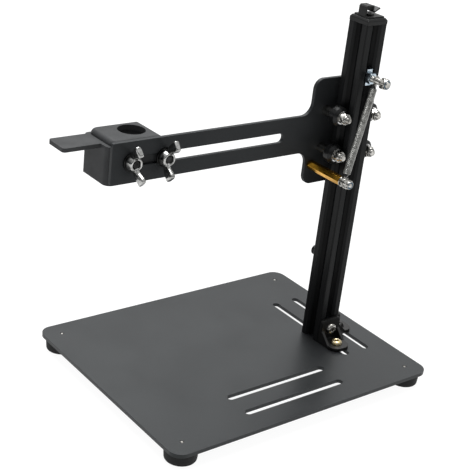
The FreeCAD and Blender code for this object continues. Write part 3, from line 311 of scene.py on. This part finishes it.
def join(name, parts, material, sharp=35.0):
    """One piece from several (verts, faces) lists."""
    verts, faces = [], []
    for part_verts, part_faces in parts:
        start = len(verts)
        verts.extend(part_verts)
        faces.extend(tuple(index + start for index in face) for face in part_faces)
    return mesh_piece(name, verts, faces, material, sharp)


def replace(piece, body, *nodes):
    """The piece rides on the body in place of the CAD nodes."""
    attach(piece, body)
    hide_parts(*nodes)


def extra(piece, body):
    """The piece rides on the body and stands for no CAD node of its own."""
    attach(piece, body)


class Ring:
    """One level of a turned shape: height and radius in mm, cut to a hexagon or threaded."""

    def __init__(self, height, radius, across=None, thread=0.0, pitch=0.8):
        self.height = height
        self.radius = radius
        self.across = across
        self.thread = thread
        self.pitch = pitch

    def reach(self, angle):
        reach = self.radius
        if self.across:
            third = math.pi / 3
            turn = (angle + third / 2) % third - third / 2
            reach = min(reach, self.across / 2 / math.cos(turn))
        if self.thread:
            phase = (self.height / self.pitch - angle / (2 * math.pi)) % 1
            reach -= self.thread * abs(2 * phase - 1)
        return reach


def turned(rings, to_row, closed=False, segments=48):
    """Verts and faces of stacked rings: capped at both ends, or closed round into a ring."""
    verts, faces = [], []
    for ring in rings:
        for index in range(segments):
            angle = 2 * math.pi * index / segments
            reach = ring.reach(angle)
            spot = Vector((reach * math.cos(angle), reach * math.sin(angle), ring.height))
            verts.append(to_row @ (spot * MM))
    rows = len(rings) if closed else len(rings) - 1
    for row in range(rows):
        here, there = row * segments, (row + 1) % len(rings) * segments
        for index in range(segments):
            after = (index + 1) % segments
            faces.append((here + index, here + after, there + after, there + index))
    if not closed:
        faces.append(tuple(reversed(range(segments))))
        faces.append(tuple(range((len(rings) - 1) * segments, len(rings) * segments)))
    return verts, faces


def threaded(start, end, radius, pitch, depth=0.32, steps=5):
    """Rings of a threaded stretch, from start to end along local Z."""
    count = max(2, round((end - start) / pitch * steps))
    heights = [start + (end - start) * index / count for index in range(count + 1)]
    return [Ring(height, radius, thread=depth, pitch=pitch) for height in heights]


def at(x, y, z, towards="up", spin=0.0):
    """Local to row frame: origin at (x, y, z) metres, +Z as named."""
    turn = TOWARDS[towards] @ Matrix.Rotation(math.radians(spin), 4, "Z")
    return Matrix.Translation((x, y, z)) @ turn


def middle(node):
    low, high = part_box(node)
    return (low + high) / 2


# ------------------------------------------------------------------------------------ fasteners

def socket_end(top, across, depth=1.6):
    """Rings that turn down into a hexagonal socket from a flat top."""
    corner = across / math.sqrt(3)
    return [
        Ring(top, corner + 0.25),
        Ring(top - 0.2, corner + 0.02, across),
        Ring(top - depth, corner + 0.02, across),
        Ring(top - depth - 0.35, 0.3),
    ]


def button_bolt(length, to_row, threads, radius=2.5, head=4.75, height=2.8, pitch=0.8, across=3.0):
    """Domed socket screw with its head above z = 0 and a thread on the end of its shank."""
    tip = [Ring(-length, radius - 0.6), Ring(-length + 0.5, radius - 0.15)]
    shank = threaded(-length + 0.6, -length + threads, radius, pitch, 0.4 * pitch)
    plain = [Ring(-length + threads + 0.3, radius), Ring(0, radius), Ring(0, head - 0.2)]
    dome = [Ring(0.2, head)]
    for step in range(1, 6):
        turn = step / 5 * math.pi / 2
        reach = head * (0.55 + 0.45 * math.cos(turn))
        dome.append(Ring(0.2 + (height - 0.2) * math.sin(turn), reach))
    end = socket_end(height, across, height * 0.57)
    return turned(tip + shank + plain + dome + end, to_row)


def cap_bolt(length, to_row, head=4.25, height=5.0, radius=2.5):
    """Cylindrical socket screw."""
    tip = [Ring(-length, radius - 0.6), Ring(-length + 0.5, radius - 0.15)]
    shank = threaded(-length + 0.6, -0.8, radius, 0.8)
    under = [Ring(0, radius), Ring(0, head - 0.15), Ring(0.15, head)]
    over = [Ring(height - 0.4, head), Ring(height, head - 0.4)]
    return turned(tip + shank + under + over + socket_end(height, 3.0), to_row)


def flat_screw(length, to_row, head, height):
    """Low cylindrical head with a small socket."""
    tip = [Ring(-length, 1.9), Ring(-length + 0.5, 2.35)]
    shank = threaded(-length + 0.6, -0.8, 2.5, 0.8)
    under = [Ring(0, 2.5), Ring(0, head - 0.1), Ring(0.15, head)]
    over = [Ring(height - 0.2, head), Ring(height, head - 0.2)]
    socket = 2.5
    corner = socket / math.sqrt(3)
    well = [
        Ring(height, corner + 0.2),
        Ring(height - 0.15, corner, socket),
        Ring(height - 0.6, corner, socket),
    ]
    return turned(tip + shank + under + over + well, to_row)


def stud(length, to_row, radius=2.5, pitch=0.8):
    """Threaded rod from z = 0 to its length, with a bevel at each end."""
    lower = [Ring(0, radius - 0.6), Ring(0.4, radius - 0.15)]
    upper = [Ring(length - 0.4, radius - 0.15), Ring(length, radius - 0.6)]
    return turned(lower + threaded(0.5, length - 0.5, radius, pitch) + upper, to_row)


INSERT_WIDTH = 0.62


def lock_nut(to_row, across=8.0, bore=2.56, hexagon=3.6, height=5.0):
    """Hexagon with a rolled collar over its nylon ring."""
    corner = across / math.sqrt(3)
    rings = [
        Ring(0.4, bore),
        Ring(0, bore + 0.4),
        Ring(0, corner - 0.45),
        Ring(0.28, corner, across),
        Ring(hexagon - 0.35, corner, across),
        Ring(hexagon - 0.05, corner - 0.5, across),
        Ring(hexagon, across / 2 - 0.25),
        Ring(hexagon + 0.25, across / 2 - 0.32),
        Ring(height - 0.45, across / 2 - 0.4),
        Ring(height - 0.12, across / 2 - 0.5),
        Ring(height, across / 2 - 0.62),
        Ring(height - 0.05, bore + INSERT_WIDTH),
        Ring(height - 1.2, bore + INSERT_WIDTH),
        Ring(height - 1.2, bore),
    ]
    return turned(rings, to_row, closed=True, segments=60)


def nylon_ring(to_row, bore=2.56, height=5.0):
    """The insert gripping the thread, just inside the collar."""
    rim = bore + INSERT_WIDTH - 0.02
    rings = [
        Ring(height - 1.1, bore),
        Ring(height - 1.1, rim),
        Ring(height - 0.2, rim),
        Ring(height - 0.1, rim - 0.1),
        Ring(height - 0.1, bore + 0.1),
        Ring(height - 0.25, bore),
    ]
    return turned(rings, to_row, closed=True, segments=48)


def wheel_site(where):
    spot = middle(f"wheel_{where}")
    return spot.x, spot.z


def build_wheel_fasteners():
    """The four axle bolts and their lock nuts."""
    bolt_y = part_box("arm_plate")[1].y
    length = (bolt_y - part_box("wheel_bolts")[0].y) / MM
    nut_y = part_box("wheel_nuts")[1].y
    bolts, nuts, inserts = [], [], []
    for index, where in enumerate(WHEEL_PLACES):
        x, z = wheel_site(where)
        bolts.append(button_bolt(length, at(x, bolt_y, z, "back", 20 * index), threads=12.0))
        nuts.append(lock_nut(at(x, nut_y, z, "front", 11 + 23 * index)))
        inserts.append(nylon_ring(at(x, nut_y, z, "front")))
    replace(join("axle_bolts", bolts, "zinc"), "carriage", "wheel_bolts")
    replace(join("axle_lock_nuts", nuts, "zinc"), "carriage", "wheel_nuts")
    extra(join("axle_nut_inserts", inserts, "nylon_white"), "carriage")


def build_spring_fasteners():
    """Studs and end nuts at the two ends of the spring, and the post's own screw."""
    ends = (
        # (stud, nut, body, stud radius, nut across flats), mm
        ("anchor_stud", "anchor_end_nut", "stand", 2.5, 8.0),
        ("spring_post_stud", "spring_post_nut", "carriage", 2.0, 7.0),
    )
    for stud_node, nut_node, body, radius, across in ends:
        low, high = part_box(stud_node)
        spot = (low + high) / 2
        rod = stud((high.y - low.y) / MM, at(spot.x, high.y, spot.z, "front"), radius)
        replace(join(f"{stud_node}_thread", [rod], "zinc"), body, stud_node)
        here = at(spot.x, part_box(nut_node)[1].y, spot.z, "front", 14)
        bore = radius + 0.06
        replace(join(f"{nut_node}_hexagon", [lock_nut(here, across, bore)], "zinc"), body, nut_node)
        insert = join(f"{nut_node}_insert", [nylon_ring(here, bore)], "nylon_blue")
        extra(insert, body)
    low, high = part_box("spring_post_screw")
    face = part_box("arm_plate")[1].y
    spot = (low + high) / 2
    here = at(spot.x, face, spot.z, "back", 8)
    size = {"radius": 2.0, "head": 3.8, "height": 2.8, "pitch": 0.7, "across": 2.5}
    screw = button_bolt((face - low.y) / MM, here, threads=8.0, **size)
    replace(join("post_screw", [screw], "zinc"), "carriage", "spring_post_screw")


# The brackets' sheet, and the distance of each hole from the inner corner, mm.
BRACKET_SHEET = 3.0
BRACKET_HOLE = 12.0
COLUMN_SCREW_LENGTH = 9.0
COLUMN_SCREW_THREADS = 7.0


def build_bracket_fasteners():
    """The brackets' screws: two into the column, two down through the base."""
    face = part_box("column")
    center = middle("column")
    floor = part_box("front_bracket")[0].z
    level = floor + BRACKET_HOLE * MM
    front = at(center.x, face[0].y - BRACKET_SHEET * MM, level, "front", 17)
    side = at(face[1].x + BRACKET_SHEET * MM, center.y, level, "right", 4)
    size = COLUMN_SCREW_LENGTH, COLUMN_SCREW_THREADS
    screws = [button_bolt(size[0], site, size[1]) for site in (front, side)]
    piece = join("bracket_front_screw", screws[:1], "zinc")
    replace(piece, "stand", "bracket_column_screws")
    extra(join("bracket_side_screw", screws[1:], "black_steel"), "stand")
    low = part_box("bracket_base_screws")[0]
    seat = floor + BRACKET_SHEET * MM
    sites = [
        at(center.x, face[0].y - BRACKET_HOLE * MM, seat, "up", 9),
        at(face[1].x + BRACKET_HOLE * MM, center.y, seat, "up", 25),
    ]
    screws = [button_bolt((seat - low.z) / MM, site, threads=8.0) for site in sites]
    piece = join("bracket_front_base_screw", screws[:1], "gold_zinc")
    replace(piece, "stand", "bracket_base_screws")
    extra(join("bracket_side_base_screw", screws[1:], "black_steel"), "stand")


FOOT_SCREW = {"radius": 1.5, "head": 2.8, "height": 2.2, "pitch": 0.5, "across": 2.0}
HOOK_SCREW_HEAD = 0.8


def build_foot_screws():
    low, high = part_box("foot_screws")
    seat = low.z + FOOT_SCREW["height"] * MM
    screws = []
    for index, where in enumerate(FOOT_PLACES):
        spot = middle(f"foot_{where}")
        here = at(spot.x, spot.y, seat, "down", 13 * index)
        screws.append(button_bolt((high.z - seat) / MM, here, threads=5.5, **FOOT_SCREW))
    replace(join("foot_button_screws", screws, "zinc"), "stand", "foot_screws")


def build_hook_screw():
    low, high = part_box("cable_hook_screw")
    center = middle("column")
    seat = high.z - HOOK_SCREW_HEAD * MM
    here = at(center.x, center.y, seat)
    screw = flat_screw((seat - low.z) / MM, here, (high.x - low.x) / 2 / MM, HOOK_SCREW_HEAD)
    replace(join("hook_clamp_screw", [screw], "black_steel"), "stand", "cable_hook_screw")


def build_stop_screw():
    """The screw of the carriage's lower stop, from behind the column."""
    low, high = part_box("stop_screw")
    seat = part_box("stop_nut")[1].y
    spot = (low + high) / 2
    screw = cap_bolt((seat - low.y) / MM, at(spot.x, seat, spot.z, "back", 12))
    replace(join("stop_socket_screw", [screw], "black_steel"), "stand", "stop_screw")


def build_holder_studs():
    """The two studs moulded into the holder, threaded where the wing nuts run."""
    low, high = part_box("holder_studs")
    level = (low.z + high.z) / 2
    length = (high.y - low.y) / MM
    radius, pitch = 3.0, 1.0
    middles = (low.x + radius * MM, high.x - radius * MM)
    rods = [stud(length, at(x, high.y, level, "front"), radius, pitch) for x in middles]
    replace(join("holder_threads", rods, "black_steel"), "holder", "holder_studs")


KNURLS = 24


def build_clamp_screw():
    """Thumb screw with a knurled knob and a dished end."""
    low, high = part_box("tool_clamp_screw")
    knob = (high.z - low.z) / 2 / MM
    spot = (low + high) / 2
    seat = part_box("tool_holder")[1].x
    start = (low.x - seat) / MM
    tip = (high.x - seat) / MM
    rings = [Ring(start, 1.9), Ring(start + 0.5, 2.35)]
    rings += threaded(start + 0.6, 0.3, 2.5, 0.8)
    rings += [Ring(0.4, 2.5), Ring(0.4, 3.3), Ring(0.6, 3.5), Ring(1.5, 3.5), Ring(1.6, knob - 0.8)]
    rings += [Ring(2.3, knob), Ring(tip - 0.8, knob), Ring(tip, knob - 0.9), Ring(tip, knob - 1.6)]
    rings += [Ring(tip - 0.7, knob - 2.2), Ring(tip - 0.8, 0.4)]
    verts, faces = turned(rings, at(seat, spot.y, spot.z, "right"), segments=96)
    axis = Vector((0, spot.y, spot.z))
    knurled = []
    for point in verts:
        radial = Vector((0, point.y, point.z)) - axis
        if radial.length > (knob - 0.05) * MM:
            angle = math.atan2(radial.z, radial.y)
            point = point - radial * 0.05 * (1 + math.cos(angle * KNURLS)) / 2
        knurled.append(point)
    piece = join("clamp_thumb_screw", [(knurled, faces)], "plastic", 25.0)
    replace(piece, "clamp_screw", "tool_clamp_screw")


# -------------------------------------------------------------------------------------- wing nuts

VOXEL = 0.28
LEFT_WING_TILT = 10.0
RIGHT_WING_TILT = -8.0


OVAL_POINTS = 20


def oval(center, along, across, half_along, half_across):
    """Points of a rounded rectangle round the center, spanned by two directions."""
    points = []
    for index in range(OVAL_POINTS):
        angle = 2 * math.pi * index / OVAL_POINTS
        c, s = math.cos(angle), math.sin(angle)
        u = math.copysign(abs(c) ** 0.6, c) * half_along
        v = math.copysign(abs(s) ** 0.6, s) * half_across
        points.append(center + along * u + across * v)
    return points


def wing(side, to_row):
    """One cast wing: sections along a path that leaves the hub and sweeps outwards and up."""
    path = [
        # (reach from the axis, height, half width, half thickness), mm
        (3.6, 2.4, 2.6, 1.9),
        (5.7, 3.5, 2.8, 1.9),
        (7.8, 5.4, 3.2, 1.9),
        (9.7, 7.8, 3.8, 2.1),
        (11.1, 9.7, 4.1, 2.2),
        (12.0, 10.9, 3.9, 2.0),
        (12.4, 11.3, 3.0, 1.4),
    ]
    centers = [Vector((side * reach, 0, height)) for reach, height, wide, thick in path]
    verts, faces = [], []
    count = OVAL_POINTS
    for index, (reach, height, wide, thick) in enumerate(path):
        before, after = centers[max(index - 1, 0)], centers[min(index + 1, len(centers) - 1)]
        heading = (after - before).normalized()
        across = Vector((0, 1, 0))
        normal = heading.cross(across)
        verts.extend(oval(centers[index], normal, across, wide, thick))
    for row in range(len(path) - 1):
        for index in range(count):
            after = (index + 1) % count
            here, there = row * count, (row + 1) * count
            faces.append((here + index, here + after, there + after, there + index))
    faces.append(tuple(reversed(range(count))))
    faces.append(tuple(range((len(path) - 1) * count, len(path) * count)))
    return [to_row @ (point * MM) for point in verts], faces


def build_wing_nut(node, body, tilt):
    """Hub and wings, melted together by a fine remesh so that they meet in a cast fillet."""
    center = middle(node)
    to_row = at(center.x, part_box(node)[1].y, center.z, "front", tilt)
    hub = [
        Ring(0, 3.3),
        Ring(0, 5.7),
        Ring(0.4, 6.0),
        Ring(1.2, 6.0),
        Ring(5.0, 4.9),
        Ring(5.5, 4.4),
        Ring(5.5, 3.6),
        Ring(5.1, 3.2),
    ]
    spin = Matrix.Rotation(math.pi / 2, 4, "Z")
    parts = [turned(hub, to_row, closed=True, segments=64)]
    parts += [wing(side, to_row @ spin) for side in (-1, 1)]
    piece = join(f"{node}_casting", parts, "cast_zinc", 180.0)
    remesh = piece.modifiers.new("cast", "REMESH")
    remesh.mode = "VOXEL"
    remesh.voxel_size = VOXEL * MM
    remesh.use_smooth_shade = True
    smooth = piece.modifiers.new("flow", "SMOOTH")
    smooth.factor = 0.6
    smooth.iterations = 5
    graph = bpy.context.evaluated_depsgraph_get()
    finished = bpy.data.meshes.new_from_object(piece.evaluated_get(graph))
    finished.name = f"{node}_casting"
    piece.modifiers.clear()
    piece.data = finished
    finished.shade_smooth()
    replace(piece, body, node)


# ---------------------------------------------------------------------------------------- spring

def tube(path, radius, sides=10):
    """Verts and faces of a round wire along the points, with rounded-off ends."""
    verts, faces = [], []
    normal = (path[1] - path[0]).orthogonal().normalized()
    for index, spot in enumerate(path):
        ahead = path[min(index + 1, len(path) - 1)] - path[max(index - 1, 0)]
        heading = ahead.normalized()
        normal = (normal - heading * normal.dot(heading)).normalized()
        side = heading.cross(normal)
        for step in range(sides):
            angle = 2 * math.pi * step / sides
            verts.append(spot + (normal * math.cos(angle) + side * math.sin(angle)) * radius)
    for row in range(len(path) - 1):
        here, there = row * sides, (row + 1) * sides
        for step in range(sides):
            after = (step + 1) % sides
            faces.append((here + step, here + after, there + after, there + step))
    faces.append(tuple(reversed(range(sides))))
    faces.append(tuple(range((len(path) - 1) * sides, len(path) * sides)))
    return verts, faces


# Millimetres.
COIL_RADIUS = 2.5
WIRE_RADIUS = 0.38
COIL_PITCH = 0.84
LOOP_RADIUS = 3.2
NECK = 6.4          # from a stud's axis to the coil's first turn
LOOP_REACH = 7.8    # from the column's face to the upper loop
TURN_STEPS = 16


def end_loop(center, inwards, coil_start):
    """Points of the wire from the coil's edge, in to its middle and round the stud."""
    side = inwards.cross(Vector((0, 1, 0))).normalized()
    start = center + inwards * LOOP_RADIUS * MM
    bridge = []
    for share in (0.2, 0.4, 0.6, 0.8):
        ease = share * share * (3 - 2 * share)
        bridge.append(coil_start.lerp(start, ease))
    loop = []
    for degrees in range(0, 331, 15):
        angle = math.radians(degrees)
        loop.append(center + (inwards * math.cos(angle) + side * math.sin(angle)) * LOOP_RADIUS * MM)
    return bridge + loop


def build_spring():
    """Close-wound extension spring with a hook loop at each end."""
    anchor = middle("anchor_nut")
    top = Vector((anchor.x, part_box("column")[0].y - LOOP_REACH * MM, anchor.z))
    bottom = middle("spring_post_washers")
    pull = (bottom - top).normalized()
    across = pull.cross(Vector((0, 1, 0))).normalized()
    other = pull.cross(across)
    first = top + pull * NECK * MM
    length = (bottom - top).length - 2 * NECK * MM
    turns = round(length / (COIL_PITCH * MM))
    coil = []
    for index in range(turns * TURN_STEPS + 1):
        angle = 2 * math.pi * index / TURN_STEPS
        along = length * index / (turns * TURN_STEPS)
        rim = (across * math.cos(angle) + other * math.sin(angle)) * COIL_RADIUS * MM
        coil.append(first + pull * along + rim)
    upper = list(reversed(end_loop(top, pull, coil[0])))
    lower = end_loop(bottom, -pull, coil[-1])
    wire = join("coil_spring", [tube(upper + coil + lower, WIRE_RADIUS * MM, 8)], "spring", 60.0)
    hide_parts("return_spring")
    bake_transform(wire)


# --------------------------------------------------------------------------------- camera, light

CAMERA_PLACE = Vector((-0.5046, -0.6005, 0.4720))
CAMERA_AZIMUTH = 40.18
CAMERA_DROP = 24.33
CAMERA_ROLL = 6.94
CAMERA_LENS = 87.98


def build_camera():
    data = bpy.data.cameras.new("camera")
    data.lens = CAMERA_LENS
    data.sensor_width = 36.0
    data.clip_start = 0.01
    camera = bpy.data.objects.new("camera", data)
    bpy.context.scene.collection.objects.link(camera)
    turn, drop = math.radians(CAMERA_AZIMUTH), math.radians(CAMERA_DROP)
    ahead = Vector((math.sin(turn) * math.cos(drop), math.cos(turn) * math.cos(drop), -math.sin(drop)))
    level = ahead.cross(UP).normalized()
    above = level.cross(ahead)
    roll = math.radians(CAMERA_ROLL)
    right = level * math.cos(roll) + above * math.sin(roll)
    head = above * math.cos(roll) - level * math.sin(roll)
    camera.matrix_world = Matrix((
        (right.x, head.x, -ahead.x, CAMERA_PLACE.x),
        (right.y, head.y, -ahead.y, CAMERA_PLACE.y),
        (right.z, head.z, -ahead.z, CAMERA_PLACE.z),
        (0, 0, 0, 1),
    ))
    bpy.context.scene.camera = camera


def aimed(name, data, place, target=(0, 0, 0.12)):
    """A lamp at a place, facing the target."""
    lamp = bpy.data.objects.new(name, data)
    bpy.context.scene.collection.objects.link(lamp)
    lamp.location = place
    lamp.rotation_mode = "QUATERNION"
    lamp.rotation_quaternion = (Vector(target) - Vector(place)).to_track_quat("-Z", "Y")
    return lamp


def soft_box(name, place, width, height, power):
    data = bpy.data.lights.new(name, "AREA")
    data.shape = "RECTANGLE"
    data.size = width
    data.size_y = height
    data.energy = power
    return aimed(name, data, place)


WORLD_STRENGTH = 0.8
SUN_POWER = 5.0
SUN_ANGLE = 50.0
SUN_PLACE = (0.15, 0.35, 1.0)


def build_light():
    """Bright overhead and behind, dark in front, so that the metal keeps its contrast.

    Seen directly, the studio is as pale as the floor.
    """
    world = bpy.data.worlds.new("studio")
    bpy.context.scene.world = world
    world.use_nodes = True
    tree = world.node_tree
    heading = add(tree, "TexCoord").outputs["Generated"]
    parts = add(tree, "SeparateXYZ", {"Vector": heading})
    behind = add(tree, "VectorMath", {0: heading, 1: (0.6, 0.75, 0.0)}, operation="DOT_PRODUCT")
    overhead = shades(tree, parts.outputs["Z"], (0.25, grey(0.0)), (0.75, grey(1.0)))
    backdrop = shades(tree, behind.outputs["Value"], (0.30, grey(0.08, 0.1)), (0.75, grey(0.8)))
    both = add(tree, "Mix", data_type="RGBA", blend_type="ADD", clamp_factor=True)
    both.inputs["Factor"].default_value = 1.0
    colour_inputs = [socket for socket in both.inputs if socket.type == "RGBA"]
    tree.links.new(backdrop, colour_inputs[0])
    tree.links.new(overhead, colour_inputs[1])
    colour = [socket for socket in both.outputs if socket.type == "RGBA"][0]
    lighting = tree.nodes["Background"]
    tree.links.new(colour, lighting.inputs["Color"])
    lighting.inputs["Strength"].default_value = WORLD_STRENGTH
    pale = add(tree, "Background", {"Color": (1, 1, 1, 1), "Strength": 1.0})
    seen = add(tree, "LightPath").outputs["Is Camera Ray"]
    links = {"Fac": seen, 1: lighting.outputs["Background"], 2: pale.outputs["Background"]}
    mixed = add(tree, "MixShader", links).outputs["Shader"]
    tree.links.new(mixed, tree.nodes["World Output"].inputs["Surface"])
    sun = bpy.data.lights.new("overhead", "SUN")
    sun.energy = SUN_POWER
    sun.angle = math.radians(SUN_ANGLE)
    aimed("overhead", sun, SUN_PLACE, (0, 0, 0))
    soft_box("right_box", (0.8, -0.55, 0.7), 0.3, 0.6, 0.5)


FLOOR_HALF = 30.0
FLOOR_DROP = 0.0002


def build_floor():
    """A plain near-white floor, lit from below like a light table, so shadows stay faint."""
    half = FLOOR_HALF
    corners = [(-half, -half, 0), (half, -half, 0), (half, half, 0), (-half, half, 0)]
    mesh = bpy.data.meshes.new("floor")
    mesh.from_pydata(corners, [], [(0, 1, 2, 3)])
    floor = bpy.data.objects.new("floor", mesh)
    floor.location.z = -FLOOR_DROP
    bpy.context.scene.collection.objects.link(floor)
    material, tree, shader = new_material("floor_paper", Roughness=0.9, Emission_Strength=0.95)
    paper = noise(tree, place_of(tree), 400.0, 2.0)
    colour = shades(tree, paper, (0.3, grey(0.06)), (0.7, grey(0.07)))
    tree.links.new(colour, shader.inputs["Base Color"])
    shader.inputs["Emission Color"].default_value = (1, 1, 1, 1)
    mesh.materials.append(material)


build_camera()
build_light()
build_floor()
dress_all()
build_wheel_fasteners()
build_spring_fasteners()
build_bracket_fasteners()
build_foot_screws()
build_hook_screw()
build_stop_screw()
build_holder_studs()
build_clamp_screw()
build_wing_nut("wing_nut_left", "wing_left", LEFT_WING_TILT)
build_wing_nut("wing_nut_right", "wing_right", RIGHT_WING_TILT)
build_spring()

bpy.context.scene.view_settings.view_transform = "Standard"
